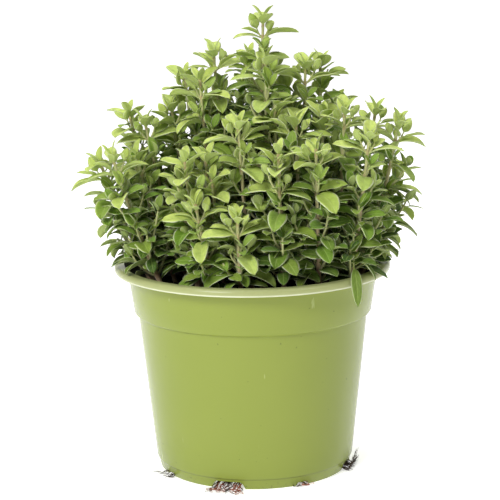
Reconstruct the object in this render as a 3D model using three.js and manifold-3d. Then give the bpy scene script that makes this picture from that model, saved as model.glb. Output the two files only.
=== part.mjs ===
// Potted oregano: leafy shoots standing in the soil of a round plastic nursery pot,
// with root tufts showing at the drain notches round the foot.
// Millimetres, +Z up. The origin is on the pot's axis, on the plane the pot stands on.
import * as THREE from "three";
import { mergeVertices } from "three/addons/utils/BufferGeometryUtils.js";
import Module from "manifold-3d";

const wasm = await Module();
wasm.setup();

// ---- driving sizes -------------------------------------------------------------------
const RIM_RADIUS = 70;
const POT_HEIGHT = 105.7;
const FOOT_RADIUS = 48.8;
const WALL = 1.2;
const FLANGE_WIDTH = 6.5;
const FLANGE_HEIGHT = 3.7;
const COLLAR_HEIGHT = 20.5;
const COLLAR_TAPER = 3;
const SHOULDER_STEP = 2.1;
const SHOULDER_FALL = 1.4;
const BAND_HEIGHT = 5;
const BAND_STEP = 0.7;
const FLOOR_UNDERSIDE = 2.5;
const FOOT_RING_WIDTH = 4.2;
const POT_SEGMENTS = 48;

const NOTCH_COUNT = 4;
const NOTCH_FIRST = 254;
const NOTCH_TOP_WIDTH = 13;
const NOTCH_BOTTOM_WIDTH = 18;
const NOTCH_DEPTH = 12;
const WEEP_WIDTH = 8;
const WEEP_HEIGHT = 1.9;

const HEADSPACE = 11;
const SOIL_SEGMENTS = 24;
const SOIL_ROUGHNESS = 0.8;
const SOIL_MOUND = 1.5;
const FIT_GAP = 0.3;

const STEM_WIDTH = 2;
const STEM_TIP_SHARE = 0.6;
const STEM_STEPS = 4;
const PLANTED_DEPTH = 12;

const LEAF_LENGTH = 19.5;
const LEAF_THICKNESS = 0.7;
const LEAF_FOLD = 0.34;
const WANDER = 24;
const NOD = 16;
const LEAST_GROWTH = 0.88;
const MOST_GROWTH = 1.1;
const JOIN_TOLERANCE = 0.2;

const ROOT_WIDTH = 0.9;

// ---- sizes that follow from them, and small helpers ----------------------------------
const RAD = Math.PI / 180;
const TRACE = 64;
const FLOOR_TOP = FLOOR_UNDERSIDE + WALL;
const NOTCH_TOP = FLOOR_TOP + FIT_GAP / 2;
const SOIL_BOTTOM = FLOOR_TOP + FIT_GAP;
const SOIL_LEVEL = POT_HEIGHT - HEADSPACE;
const WALL_TOP = POT_HEIGHT - FLANGE_HEIGHT;
const WALL_TOP_RADIUS = RIM_RADIUS - FLANGE_WIDTH;
const SHOULDER_TOP = WALL_TOP - COLLAR_HEIGHT;
const SHOULDER_RADIUS = WALL_TOP_RADIUS - COLLAR_TAPER;
const BODY_TOP = SHOULDER_TOP - SHOULDER_FALL;
const BODY_TOP_RADIUS = SHOULDER_RADIUS - SHOULDER_STEP;
const BAND_RADIUS = FOOT_RADIUS + 1;
const BODY_FOOT_RADIUS = BAND_RADIUS + BAND_STEP;
// A bigger leaf is wider too, and its neighbours keep further off.
const LEAF_WIDTH = (LEAF_LENGTH * 8) / 13;
const LEAF_CLEARANCE = (LEAF_WIDTH * 3) / 20;

const vec = (x, y, z) => new THREE.Vector3(x, y, z);
const lerp = (a, b, t) => a + (b - a) * t;

function solid(geometry) {
  const bare = new THREE.BufferGeometry();
  bare.setAttribute("position", geometry.getAttribute("position"));
  if (geometry.index) bare.setIndex(geometry.index);
  const merged = mergeVertices(bare, 1e-4);
  return new wasm.Manifold(
    new wasm.Mesh({
      numProp: 3,
      vertProperties: merged.attributes.position.array,
      triVerts: new Uint32Array(merged.index.array),
    }),
  );
}

function geometryOf(made) {
  const mesh = made.getMesh();
  const geometry = new THREE.BufferGeometry();
  const positions = new Float32Array(mesh.numVert * 3);
  for (let i = 0; i < mesh.numVert; i++) {
    for (let k = 0; k < 3; k++) {
      positions[3 * i + k] = mesh.vertProperties[i * mesh.numProp + k];
    }
  }
  geometry.setAttribute("position", new THREE.BufferAttribute(positions, 3));
  geometry.setIndex(Array.from(mesh.triVerts));
  geometry.computeVertexNormals();
  return geometry;
}

// Each call of the returned function gives the next number from 0 to 1, always in the same order.
function seeded(seed) {
  let state = seed;
  return () => {
    state = (state * 48271) % 2147483647;
    return state / 2147483647;
  };
}

// A profile of [radius, height] pairs turned round the Z axis.
function turned(profile, segments) {
  const points = profile.map(([r, z]) => new THREE.Vector2(r, z));
  return new THREE.LatheGeometry(points, segments).rotateX(Math.PI / 2);
}

// ---- pot -----------------------------------------------------------------------------
// Radius of the pot's inner wall at a height, shared with the soil that fills it.
const INNER_WALL = [
  [BODY_FOOT_RADIUS - WALL - 1.4, FLOOR_TOP],
  [BODY_FOOT_RADIUS - WALL, BAND_HEIGHT + 2],
  [BODY_TOP_RADIUS - WALL, BODY_TOP],
  [SHOULDER_RADIUS - WALL, SHOULDER_TOP + WALL],
  [WALL_TOP_RADIUS - WALL, WALL_TOP],
  [RIM_RADIUS - FLANGE_WIDTH + 0.6, POT_HEIGHT - 1.2],
  [RIM_RADIUS - FLANGE_WIDTH + 1.5, POT_HEIGHT],
];

function innerRadius(z) {
  for (let i = 1; i < INNER_WALL.length; i++) {
    const [r0, z0] = INNER_WALL[i - 1];
    const [r1, z1] = INNER_WALL[i];
    if (z <= z1) return lerp(r0, r1, (z - z0) / (z1 - z0));
  }
  return INNER_WALL[INNER_WALL.length - 1][0];
}

function potBody() {
  const foot = [
    [0, FLOOR_UNDERSIDE],
    [FOOT_RADIUS - FOOT_RING_WIDTH - 0.8, FLOOR_UNDERSIDE],
    [FOOT_RADIUS - FOOT_RING_WIDTH, 0],
    [FOOT_RADIUS, 0],
    [BAND_RADIUS, BAND_HEIGHT],
    [BODY_FOOT_RADIUS, BAND_HEIGHT + 0.5],
  ];
  const shoulder = [
    [BODY_TOP_RADIUS, BODY_TOP],
    [lerp(BODY_TOP_RADIUS, SHOULDER_RADIUS, 0.75), BODY_TOP + 0.4 * SHOULDER_FALL],
    [SHOULDER_RADIUS, SHOULDER_TOP],
  ];
  const flange = [
    [WALL_TOP_RADIUS, WALL_TOP - 0.5],
    [WALL_TOP_RADIUS + 0.6, WALL_TOP],
    [RIM_RADIUS - 0.5, WALL_TOP],
    [RIM_RADIUS, WALL_TOP + 0.6],
    [RIM_RADIUS, POT_HEIGHT - 1.4],
    [RIM_RADIUS - 1, POT_HEIGHT - 0.3],
    [RIM_RADIUS - 2, POT_HEIGHT],
  ];
  const inside = [...INNER_WALL].reverse();
  const profile = [...foot, ...shoulder, ...flange, ...inside, [0, FLOOR_TOP]];
  return solid(turned(profile, POT_SEGMENTS));
}

// A prism whose outline stands across the foot ring at an azimuth and runs inwards from outside.
function radialPrism(outline, azimuth, inner, outer) {
  const shape = new THREE.Shape(outline.map(([x, z]) => new THREE.Vector2(x, z)));
  const prism = new THREE.ExtrudeGeometry(shape, { depth: outer - inner, bevelEnabled: false });
  prism.translate(0, 0, inner);
  prism.rotateX(Math.PI / 2);
  prism.rotateZ((azimuth + 90) * RAD);
  return solid(prism);
}

function pot() {
  const below = -1;
  const high = NOTCH_TOP;
  const wide = [
    [-NOTCH_BOTTOM_WIDTH / 2, below],
    [NOTCH_BOTTOM_WIDTH / 2, below],
    [NOTCH_TOP_WIDTH / 2 + 1.2, high - 1],
    [NOTCH_TOP_WIDTH / 2, high],
    [-NOTCH_TOP_WIDTH / 2, high],
    [-NOTCH_TOP_WIDTH / 2 - 1.2, high - 1],
  ];
  const low = [
    [-WEEP_WIDTH / 2, below],
    [WEEP_WIDTH / 2, below],
    [WEEP_WIDTH / 2 - 1, WEEP_HEIGHT],
    [-WEEP_WIDTH / 2 + 1, WEEP_HEIGHT],
  ];
  const outside = FOOT_RADIUS + 4;
  let made = potBody();
  for (let i = 0; i < NOTCH_COUNT; i++) {
    const azimuth = NOTCH_FIRST + (i * 360) / NOTCH_COUNT;
    const between = azimuth + 180 / NOTCH_COUNT;
    made = made.subtract(radialPrism(wide, azimuth, outside - NOTCH_DEPTH, outside));
    made = made.subtract(radialPrism(low, between, outside - NOTCH_DEPTH, outside));
  }
  return made;
}

// ---- planting ------------------------------------------------------------------------
// One row per shoot seen from the front: where it stands (x, y), where its tip is (x, y, height
// above the rim), how many leaf pairs it carries, the length between pairs and the azimuth of
// the top pair.
const PLANTED = [
  [16, -38, 13, -50, 62, 8, 10, 75],
  [33, -36, 31, -48, 64, 6, 13, 20],
  [45, -30, 57, -42, 70, 7, 12, 5],
  [-5, -42, -7, -54, 32, 5, 10, 15],
  [-14, -32, -27, -48, 38, 6, 10, 170],
  [1, -25, -6, -38, 75, 7, 13, 25],
  [-12, -21, -19, -36, 48, 5, 12, 65],
  [25, -22, 22, -30, 75, 6, 13, 150],
  [-25, -19, -35, -28, 47, 6, 11, 100],
  [-38, -24, -68, -24, 58, 7, 12, 0],
  [-41, -13, -75, -14, 54, 7, 12, 10],
  [-34, -6, -57, -8, 56, 6, 12, 30],
  [-29, 3, -53, 0, 72, 6, 13, 15],
  [-21, 8, -40, 9, 78, 6, 13, 20],
  [-18, 18, -33, 16, 93, 6, 13, 50],
  [-13, -2, -25, -4, 93, 5, 12, 130],
  [-7, 6, -18, 6, 106, 6, 15, 0],
  [7, -12, 8, -10, 103, 5, 12, 10],
  [2, 4, 7, 8, 122, 7, 13, 5],
  [14, -5, 12, -22, 82, 5, 12, 45],
  [22, 6, 28, 4, 99, 6, 12, 10],
  [30, 17, 36, 18, 99, 6, 13, 0],
  [32, -8, 36, -14, 76, 5, 12, 70],
  [40, -18, 46, -25, 80, 6, 15, 15],
  [43, 2, 63, 2, 76, 6, 13, 26],
  [50, -8, 74, -6, 70, 7, 12, 5],
  [47, 12, 75, 14, 44, 6, 11, 15],
  [6, -24, 3, -34, 57, 5, 11, 160],
  [-20, -12, -22, -30, 58, 5, 11, 35],
  [-23, -30, -32, -38, 57, 6, 12, 80],
  [-45, -2, -62, -6, 18, 5, 9, 5],
  [49, 3, 63, 4, 18, 5, 9, 10],
];

// The shoots behind them: how many, standing radius, tip radius, tip height above the rim, first
// and last azimuth.
const BEHIND = [
  [3, 22, 32, 94, 50, 130],
  [6, 37, 60, 68, 12, 168],
  [4, 48, 62, 32, 35, 148],
];

function plantingPlan() {
  const plan = [...PLANTED];
  for (const [count, standing, reach, height, first, last] of BEHIND) {
    for (let i = 0; i < count; i++) {
      const angle = lerp(first, last, i / (count - 1)) * RAD;
      const side = i % 2 ? 1 : -1;
      plan.push([
        standing * Math.cos(angle),
        standing * Math.sin(angle),
        (reach + 3 * side) * Math.cos(angle),
        (reach + 3 * side) * Math.sin(angle),
        height + 7 * side,
        6,
        12,
        (47 * i) % 90,
      ]);
    }
  }
  return plan;
}

// A stem leaves the soil leaning outwards and turns up towards its tip.
function stemCurve([x0, y0, x1, y1, tipHeight]) {
  const z0 = SOIL_LEVEL - PLANTED_DEPTH;
  const z1 = POT_HEIGHT + tipHeight;
  const foot = vec(x0, y0, z0);
  const bend = vec(lerp(x0, x1, 0.6), lerp(y0, y1, 0.6), lerp(z0, z1, 0.46));
  return new THREE.QuadraticBezierCurve3(foot, bend, vec(x1, y1, z1));
}

// Where a stem is, and which way it points, a given length below its tip.
function belowTip(trace, length) {
  let left = length;
  for (let i = TRACE; i > 0; i--) {
    const step = trace[i].distanceTo(trace[i - 1]);
    if (left <= step || i === 1) {
      const at = trace[i].clone().lerp(trace[i - 1], left / step);
      const along = trace[i].clone().sub(trace[i - 1]).normalize();
      return { at, along };
    }
    left -= step;
  }
}

// ---- leaves --------------------------------------------------------------------------
// A leaf's midrib is an arc that starts at an elevation above the stem's cross plane and droops.
function leafFrame(leaf, s) {
  const { at, out, up, rise, droop, length } = leaf;
  const turn = rise - droop * s;
  const reach = (length * (Math.sin(rise) - Math.sin(turn))) / droop;
  const climb = (length * (Math.cos(turn) - Math.cos(rise))) / droop;
  const mid = at.clone().addScaledVector(out, reach).addScaledVector(up, climb);
  const normal = out.clone().multiplyScalar(-Math.sin(turn)).addScaledVector(up, Math.cos(turn));
  return { mid, normal, side: up.clone().cross(out) };
}

// A point of the blade: s along the midrib, u across it from -1 to 1.
function bladePoint(leaf, s, u, halfWidth, lift) {
  const { mid, normal, side } = leafFrame(leaf, s);
  const fold = LEAF_FOLD * Math.abs(u) * halfWidth;
  return mid.addScaledVector(side, u * halfWidth).addScaledVector(normal, fold + lift);
}

const LEAF_RINGS = [
  [0.36, 0.48],
  [0.7, 0.4],
];

// The blade is a sphere of four columns (edge, top, edge, underside) drawn out along the midrib.
function leafSolid(leaf) {
  const rows = LEAF_RINGS.length + 1;
  const ball = new THREE.SphereGeometry(1, 4, rows);
  const place = ball.getAttribute("position");
  for (let i = 0; i < place.count; i++) {
    const row = Math.round((Math.acos(place.getY(i)) / Math.PI) * rows);
    const pole = row === 0 || row === rows;
    const [s, share] = pole ? [row / rows, 0] : LEAF_RINGS[row - 1];
    const u = pole ? 0 : Math.round(place.getX(i));
    const lift = pole ? 0 : (Math.round(place.getZ(i)) * LEAF_THICKNESS) / 2;
    const point = bladePoint(leaf, s, u, share * leaf.width, lift);
    place.setXYZ(i, point.x, point.y, point.z);
  }
  return solid(ball);
}

const SAMPLE_ROWS = 9;
const SAMPLE_COLUMNS = [-1, -0.6, -0.2, 0.2, 0.6, 1];
function leafSamples(leaf) {
  const points = [];
  for (let row = 1; row <= SAMPLE_ROWS; row++) {
    const s = row / SAMPLE_ROWS;
    const share = 0.5 * Math.sin(Math.PI * Math.min(1, Math.max(0, s * 0.94 + 0.03)));
    for (const u of SAMPLE_COLUMNS) {
      points.push(bladePoint(leaf, s, u, share * leaf.width, 0));
    }
  }
  return points;
}

// ---- keeping clear -------------------------------------------------------------------
const CELL = 3;
const taken = new Map();
const cellOf = (p, dx, dy, dz) =>
  `${Math.floor(p.x / CELL) + dx},${Math.floor(p.y / CELL) + dy},${Math.floor(p.z / CELL) + dz}`;

function take(points, owner) {
  for (const p of points) {
    const key = cellOf(p, 0, 0, 0);
    if (!taken.has(key)) taken.set(key, []);
    taken.get(key).push({ p, owner });
  }
}

function isFree(points, owner, gap) {
  for (const p of points) {
    for (let dx = -1; dx <= 1; dx++) {
      for (let dy = -1; dy <= 1; dy++) {
        for (let dz = -1; dz <= 1; dz++) {
          for (const other of taken.get(cellOf(p, dx, dy, dz)) ?? []) {
            if (other.owner !== owner && other.p.distanceTo(p) < gap) return false;
          }
        }
      }
    }
  }
  return true;
}

// Leaves keep off the soil and go over the rim, not through it.
function clearOfPot(points) {
  const low = SOIL_LEVEL + SOIL_MOUND + SOIL_ROUGHNESS + 1;
  for (const p of points) {
    const r = Math.hypot(p.x, p.y);
    if (r > RIM_RADIUS + 1.2) continue;
    if (p.z < low) return false;
    if (r > innerRadius(p.z) - 1.5 && p.z < POT_HEIGHT + 1.5) return false;
  }
  return true;
}

// ---- shoots --------------------------------------------------------------------------
// By place below the tip: how far down, share of a full leaf, rise above the cross plane and droop.
const HABIT = [
  { drop: 0.8, size: 0.46, rise: 68, droop: 18 },
  { drop: 3.6, size: 0.76, rise: 46, droop: 34 },
  { drop: 10, size: 0.95, rise: 30, droop: 46 },
];
const LOWER = { size: 1, rise: 20, droop: 62 };
const TURNS = [0, 14, -14, 28, -28, 42, -42];
const LIFTS = [0, 16, -16, 32];
const SHRINKS = [1, 0.86, 0.72, 0.58];

function leavesOf(row, index, trace) {
  const [, , , , , pairs, internode, phase] = row;
  const random = seeded(index * 7919 + 101);
  const leaves = [];
  for (let k = 0; k < pairs; k++) {
    const habit = HABIT[k] ?? { ...LOWER, drop: HABIT[2].drop + (k - 2) * internode };
    const { at, along } = belowTip(trace, habit.drop);
    for (const half of [0, 180]) {
      const wander = (random() - 0.5) * WANDER;
      const nod = (random() - 0.5) * NOD;
      const growth = lerp(LEAST_GROWTH, MOST_GROWTH, random());
      const leaf = settle(at, along, phase + 90 * k + half + wander, nod, growth, habit, index);
      if (leaf) leaves.push(leaf);
    }
  }
  return leaves;
}

// The first size, turn and lift at which a leaf keeps clear of everything already grown.
function settle(at, along, azimuth, nod, growth, habit, owner) {
  for (const shrink of SHRINKS) {
    for (const lift of LIFTS) {
      for (const turn of TURNS) {
        const angle = (azimuth + turn) * RAD;
        const flat = vec(Math.cos(angle), Math.sin(angle), 0);
        const out = flat.addScaledVector(along, -flat.dot(along)).normalize();
        const size = habit.size * growth * shrink;
        const leaf = {
          at,
          out,
          up: along,
          rise: (habit.rise + nod + lift) * RAD,
          droop: habit.droop * RAD,
          length: LEAF_LENGTH * size,
          width: LEAF_WIDTH * size,
        };
        const points = leafSamples(leaf);
        if (clearOfPot(points) && isFree(points, owner, LEAF_CLEARANCE)) {
          take(points, owner);
          return leaf;
        }
      }
    }
  }
  return null;
}

// A square stem along its curve, narrowing to the tip. The socket it stands in is the same
// stem grown by the fit gap all round and under its foot.
function stemSolid(curve, gap) {
  const half = STEM_WIDTH / 2 + gap;
  const square = new THREE.Shape([
    new THREE.Vector2(-half, -half),
    new THREE.Vector2(half, -half),
    new THREE.Vector2(half, half),
    new THREE.Vector2(-half, half),
  ]);
  const stem = new THREE.ExtrudeGeometry(square, {
    steps: STEM_STEPS,
    extrudePath: curve,
    bevelEnabled: false,
  });
  const rings = curve.getSpacedPoints(STEM_STEPS);
  const place = stem.getAttribute("position");
  const point = new THREE.Vector3();
  for (let i = 0; i < place.count; i++) {
    point.fromBufferAttribute(place, i);
    const ring = rings.reduce(
      (best, centre, j) => (centre.distanceTo(point) < rings[best].distanceTo(point) ? j : best),
      0,
    );
    const narrow = lerp(1, STEM_TIP_SHARE, ring / STEM_STEPS);
    const scale = (narrow * (STEM_WIDTH / 2) + gap) / half;
    point.sub(rings[ring]).multiplyScalar(scale).add(rings[ring]);
    if (ring === 0) point.z -= gap;
    place.setXYZ(i, point.x, point.y, point.z);
  }
  return solid(stem);
}

const plan = plantingPlan();
const curves = plan.map(stemCurve);
const traces = curves.map((curve) => curve.getPoints(TRACE));
traces.forEach((trace, index) => take(trace, index));

const grown = plan.map((row, index) => leavesOf(row, index, traces[index]));
const shoots = curves.map((curve, index) => {
  let made = stemSolid(curve, 0);
  for (const leaf of grown[index]) made = made.add(leafSolid(leaf));
  return made.asOriginal().simplify(JOIN_TOLERANCE);
});

// ---- soil ----------------------------------------------------------------------------
function soil() {
  const side = INNER_WALL.filter(([, z]) => z > FLOOR_TOP && z < SOIL_LEVEL);
  const profile = [
    [0, SOIL_BOTTOM],
    [innerRadius(SOIL_BOTTOM) - FIT_GAP, SOIL_BOTTOM],
    ...side.map(([r, z]) => [r - FIT_GAP, z]),
    [innerRadius(SOIL_LEVEL) - FIT_GAP, SOIL_LEVEL],
  ];
  const edge = innerRadius(SOIL_LEVEL) - FIT_GAP;
  for (const share of [0.9, 0.72, 0.54, 0.36, 0.18, 0]) {
    profile.push([edge * share, SOIL_LEVEL + SOIL_MOUND * (1 - share * share)]);
  }
  const turnedSoil = turned(profile, SOIL_SEGMENTS);
  const place = turnedSoil.getAttribute("position");
  for (let i = 0; i < place.count; i++) {
    const x = place.getX(i);
    const y = place.getY(i);
    const z = place.getZ(i);
    if (z < SOIL_LEVEL - 1) continue;
    const bump = Math.sin(0.31 * x + 0.17 * y) * Math.cos(0.23 * y - 0.11 * x);
    place.setZ(i, z + SOIL_ROUGHNESS * bump);
  }
  let made = solid(turnedSoil);
  for (const curve of curves) made = made.subtract(stemSolid(curve, FIT_GAP));
  return made;
}

// ---- roots ---------------------------------------------------------------------------
// A tuft: a flat knot inside a notch, and strands that fan out of it under the notch's
// ceiling and come down onto the ground outside the foot.
function rootTuft({ azimuth, at, top, ceiling, strands, spread, reach, seed }) {
  const random = seeded(seed);
  const half = ROOT_WIDTH / 2;
  const low = FIT_GAP + ROOT_WIDTH;
  const knotHeight = top - low;
  const knot = new THREE.SphereGeometry(1, 6, 4);
  knot.rotateX(Math.PI / 2);
  knot.scale(2.2, 1.2 + spread / 4, knotHeight / 2);
  knot.translate(at, 0, low + knotHeight / 2);
  let made = solid(knot);
  const section = new THREE.Shape([
    new THREE.Vector2(half, 0),
    new THREE.Vector2(-half * 0.7, half * 0.8),
    new THREE.Vector2(-half * 0.7, -half * 0.8),
  ]);
  const level = Math.min(low + knotHeight / 2, ceiling - ROOT_WIDTH);
  for (let i = 0; i < strands; i++) {
    const fan = i / (strands - 1) - 0.5;
    const far = FOOT_RADIUS + reach * (0.6 + 0.4 * random());
    const sideways = fan * spread + (random() - 0.5) * 1.5;
    const path = new THREE.QuadraticBezierCurve3(
      vec(at, fan * spread * 0.35, low + knotHeight / 2),
      vec(lerp(at, far, 0.6), sideways * 0.7, level),
      vec(far, sideways * 1.5, FIT_GAP + half + 0.1),
    );
    const strand = new THREE.ExtrudeGeometry(section, {
      steps: 3,
      extrudePath: path,
      bevelEnabled: false,
    });
    made = made.add(solid(strand));
  }
  return made.rotate([0, 0, azimuth]);
}

const drainTuft = {
  at: FOOT_RADIUS - FOOT_RING_WIDTH - 0.5,
  top: SOIL_BOTTOM - FIT_GAP,
  ceiling: NOTCH_TOP - FIT_GAP,
};
const weepTuft = {
  at: FOOT_RADIUS - FOOT_RING_WIDTH - 3.6,
  top: FLOOR_UNDERSIDE - FIT_GAP,
  ceiling: WEEP_HEIGHT - FIT_GAP,
};
const STEP = 360 / NOTCH_COUNT;
const tufts = {
  roots_front: rootTuft({
    ...drainTuft,
    azimuth: NOTCH_FIRST,
    strands: 6,
    spread: 10,
    reach: 8,
    seed: 11,
  }),
  roots_right: rootTuft({
    ...drainTuft,
    azimuth: NOTCH_FIRST + STEP,
    strands: 6,
    spread: 10,
    reach: 9,
    seed: 23,
  }),
  roots_left: rootTuft({
    ...weepTuft,
    azimuth: NOTCH_FIRST - STEP / 2,
    strands: 3,
    spread: 3,
    reach: 9,
    seed: 37,
  }),
  roots_front_right: rootTuft({
    ...weepTuft,
    azimuth: NOTCH_FIRST + STEP / 2,
    strands: 3,
    spread: 3,
    reach: 3,
    seed: 41,
  }),
};

// ---- the part ------------------------------------------------------------------------
const potPlastic = new THREE.MeshStandardMaterial({ color: 0xa9b462, roughness: 0.38 });
const earth = new THREE.MeshStandardMaterial({ color: 0x2a1f16, roughness: 0.95 });
const foliage = new THREE.MeshStandardMaterial({ color: 0x7d9a3c, roughness: 0.7 });
const rootFibre = new THREE.MeshStandardMaterial({ color: 0x4a3526, roughness: 0.85 });

const part = new THREE.Group();
part.name = "potted_oregano";

function addPiece(name, made, material) {
  const mesh = new THREE.Mesh(geometryOf(made), material);
  mesh.name = name;
  part.add(mesh);
}

addPiece("pot", pot(), potPlastic);
addPiece("soil", soil(), earth);
shoots.forEach((made, index) => {
  addPiece(`shoot_${String(index + 1).padStart(2, "0")}`, made, foliage);
});
for (const [name, made] of Object.entries(tufts)) addPiece(name, made, rootFibre);

export default part;
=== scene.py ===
"""Potted oregano: a bushy herb in a lime green nursery pot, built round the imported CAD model.

Each shoot of the CAD model is grown again here by the same rule, with fine leaves, small side leaves
in the axils and a hairy square stem. Lengths are metres; sizes given in millimetres carry MM.
"""

import math

import bmesh
import bpy
import numpy as np
from mathutils import Matrix, Vector, noise


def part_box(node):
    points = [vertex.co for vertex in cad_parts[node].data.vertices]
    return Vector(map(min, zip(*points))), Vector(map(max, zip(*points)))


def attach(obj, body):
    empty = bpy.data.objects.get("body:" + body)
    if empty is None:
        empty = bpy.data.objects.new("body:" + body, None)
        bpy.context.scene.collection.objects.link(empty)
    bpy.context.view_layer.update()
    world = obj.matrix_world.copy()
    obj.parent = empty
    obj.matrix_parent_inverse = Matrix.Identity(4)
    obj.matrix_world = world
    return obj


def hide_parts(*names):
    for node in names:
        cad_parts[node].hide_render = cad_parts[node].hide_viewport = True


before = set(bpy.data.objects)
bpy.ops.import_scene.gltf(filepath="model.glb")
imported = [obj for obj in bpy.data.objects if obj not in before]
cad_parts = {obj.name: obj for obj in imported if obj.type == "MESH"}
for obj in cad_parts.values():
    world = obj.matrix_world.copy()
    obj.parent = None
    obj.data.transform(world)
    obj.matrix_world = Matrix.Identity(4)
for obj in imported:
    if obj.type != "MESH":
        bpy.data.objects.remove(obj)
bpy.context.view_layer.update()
MM = 0.001
RAD = math.pi / 180

# ---- sizes taken from the frame ----
RIM_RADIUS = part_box("pot")[1][0]
POT_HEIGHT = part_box("pot")[1][2]
SOIL_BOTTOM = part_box("soil")[0][2]

# ---- the pot's moulding, as in the CAD model ----
FOOT_RADIUS = 48.8 * MM
WALL = 1.2 * MM
FLANGE_WIDTH = 6.5 * MM
FLANGE_HEIGHT = 3.7 * MM
COLLAR_HEIGHT = 20.5 * MM
COLLAR_TAPER = 3 * MM
SHOULDER_STEP = 2.1 * MM
SHOULDER_FALL = 1.4 * MM
BAND_HEIGHT = 5 * MM
FLOOR_UNDERSIDE = 2.5 * MM
FOOT_RING_WIDTH = 4.2 * MM
FLOOR_TOP = FLOOR_UNDERSIDE + WALL
NOTCH_COUNT = 4
NOTCH_FIRST = 254
NOTCH_TOP = FLOOR_TOP + 0.15 * MM
HEADSPACE = 11 * MM
SOIL_LEVEL = POT_HEIGHT - HEADSPACE
WALL_TOP = POT_HEIGHT - FLANGE_HEIGHT
WALL_TOP_RADIUS = RIM_RADIUS - FLANGE_WIDTH
SHOULDER_TOP = WALL_TOP - COLLAR_HEIGHT
SHOULDER_RADIUS = WALL_TOP_RADIUS - COLLAR_TAPER
BODY_TOP = SHOULDER_TOP - SHOULDER_FALL
BODY_TOP_RADIUS = SHOULDER_RADIUS - SHOULDER_STEP
BAND_RADIUS = FOOT_RADIUS + 1 * MM
BODY_FOOT_RADIUS = BAND_RADIUS + 0.7 * MM
SOIL_MOUND = 1.5 * MM
SOIL_ROUGHNESS = 0.8 * MM

# ---- the plant's habit, as in the CAD model ----
PLANTED_DEPTH = 12 * MM
STEM_WIDTH = 2 * MM
STEM_TIP_SHARE = 0.6
LEAF_LENGTH = 19.5 * MM
LEAF_WIDTH = 12 * MM
LEAF_FOLD = 0.34
LEAF_CLEARANCE = 1.8 * MM
WANDER = 24
NOD = 16
LEAST_GROWTH = 0.88
MOST_GROWTH = 1.1

# One row per shoot in millimetres: where it stands (x, y), where its tip is (x, y, height above the
# rim), how many leaf pairs it carries, the length between pairs and the azimuth of the top pair.
PLANTED = [
    [16, -38, 13, -50, 62, 8, 10, 75],
    [33, -36, 31, -48, 64, 6, 13, 20],
    [45, -30, 57, -42, 70, 7, 12, 5],
    [-5, -42, -7, -54, 32, 5, 10, 15],
    [-14, -32, -27, -48, 38, 6, 10, 170],
    [1, -25, -6, -38, 75, 7, 13, 25],
    [-12, -21, -19, -36, 48, 5, 12, 65],
    [25, -22, 22, -30, 75, 6, 13, 150],
    [-25, -19, -35, -28, 47, 6, 11, 100],
    [-38, -24, -68, -24, 58, 7, 12, 0],
    [-41, -13, -75, -14, 54, 7, 12, 10],
    [-34, -6, -57, -8, 56, 6, 12, 30],
    [-29, 3, -53, 0, 72, 6, 13, 15],
    [-21, 8, -40, 9, 78, 6, 13, 20],
    [-18, 18, -33, 16, 93, 6, 13, 50],
    [-13, -2, -25, -4, 93, 5, 12, 130],
    [-7, 6, -18, 6, 106, 6, 15, 0],
    [7, -12, 8, -10, 103, 5, 12, 10],
    [2, 4, 7, 8, 122, 7, 13, 5],
    [14, -5, 12, -22, 82, 5, 12, 45],
    [22, 6, 28, 4, 99, 6, 12, 10],
    [30, 17, 36, 18, 99, 6, 13, 0],
    [32, -8, 36, -14, 76, 5, 12, 70],
    [40, -18, 46, -25, 80, 6, 15, 15],
    [43, 2, 63, 2, 76, 6, 13, 26],
    [50, -8, 74, -6, 70, 7, 12, 5],
    [47, 12, 75, 14, 44, 6, 11, 15],
    [6, -24, 3, -34, 57, 5, 11, 160],
    [-20, -12, -22, -30, 58, 5, 11, 35],
    [-23, -30, -32, -38, 57, 6, 12, 80],
    [-45, -2, -62, -6, 18, 5, 9, 5],
    [49, 3, 63, 4, 18, 5, 9, 10],
]

# The shoots behind them: how many, standing radius, tip radius, tip height above the rim, first and
# last azimuth.
BEHIND = [
    [3, 22, 32, 94, 50, 130],
    [6, 37, 60, 68, 12, 168],
    [4, 48, 62, 32, 35, 148],
]


def lerp(a, b, t):
    return a + (b - a) * t


def smoothstep(low, high, x):
    t = np.clip((x - low) / (high - low), 0, 1)
    return t * t * (3 - 2 * t)


class Seeded:
    """Gives the next number from 0 to 1 at each call, always in the same order."""

    def __init__(self, seed):
        self.state = seed

    def __call__(self):
        self.state = (self.state * 48271) % 2147483647
        return self.state / 2147483647


# ---- growing the shoots ----
def planting_plan():
    plan = [list(row) for row in PLANTED]
    for count, standing, reach, height, first, last in BEHIND:
        for i in range(count):
            angle = lerp(first, last, i / (count - 1)) * RAD
            x, y = math.cos(angle), math.sin(angle)
            side = 1 if i % 2 else -1
            far = reach + 3 * side
            place = [standing * x, standing * y, far * x, far * y, height + 7 * side]
            plan.append(place + [6, 12, (47 * i) % 90])
    return plan


TRACE = 64


def bent(start, bend, end, steps):
    """Points on a curve from start to end that is drawn towards bend."""
    t = np.linspace(0, 1, steps + 1)[:, None]
    return (1 - t) ** 2 * start + 2 * t * (1 - t) * bend + t**2 * end


def stem_trace(row):
    """Points along a stem, which leaves the soil leaning outwards and turns up to its tip."""
    x0, y0, x1, y1, tip_height = (value * MM for value in row[:5])
    z0 = SOIL_LEVEL - PLANTED_DEPTH
    z1 = POT_HEIGHT + tip_height
    foot = np.array([x0, y0, z0])
    bend = np.array([lerp(x0, x1, 0.6), lerp(y0, y1, 0.6), lerp(z0, z1, 0.46)])
    return bent(foot, bend, np.array([x1, y1, z1]), TRACE)


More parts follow.
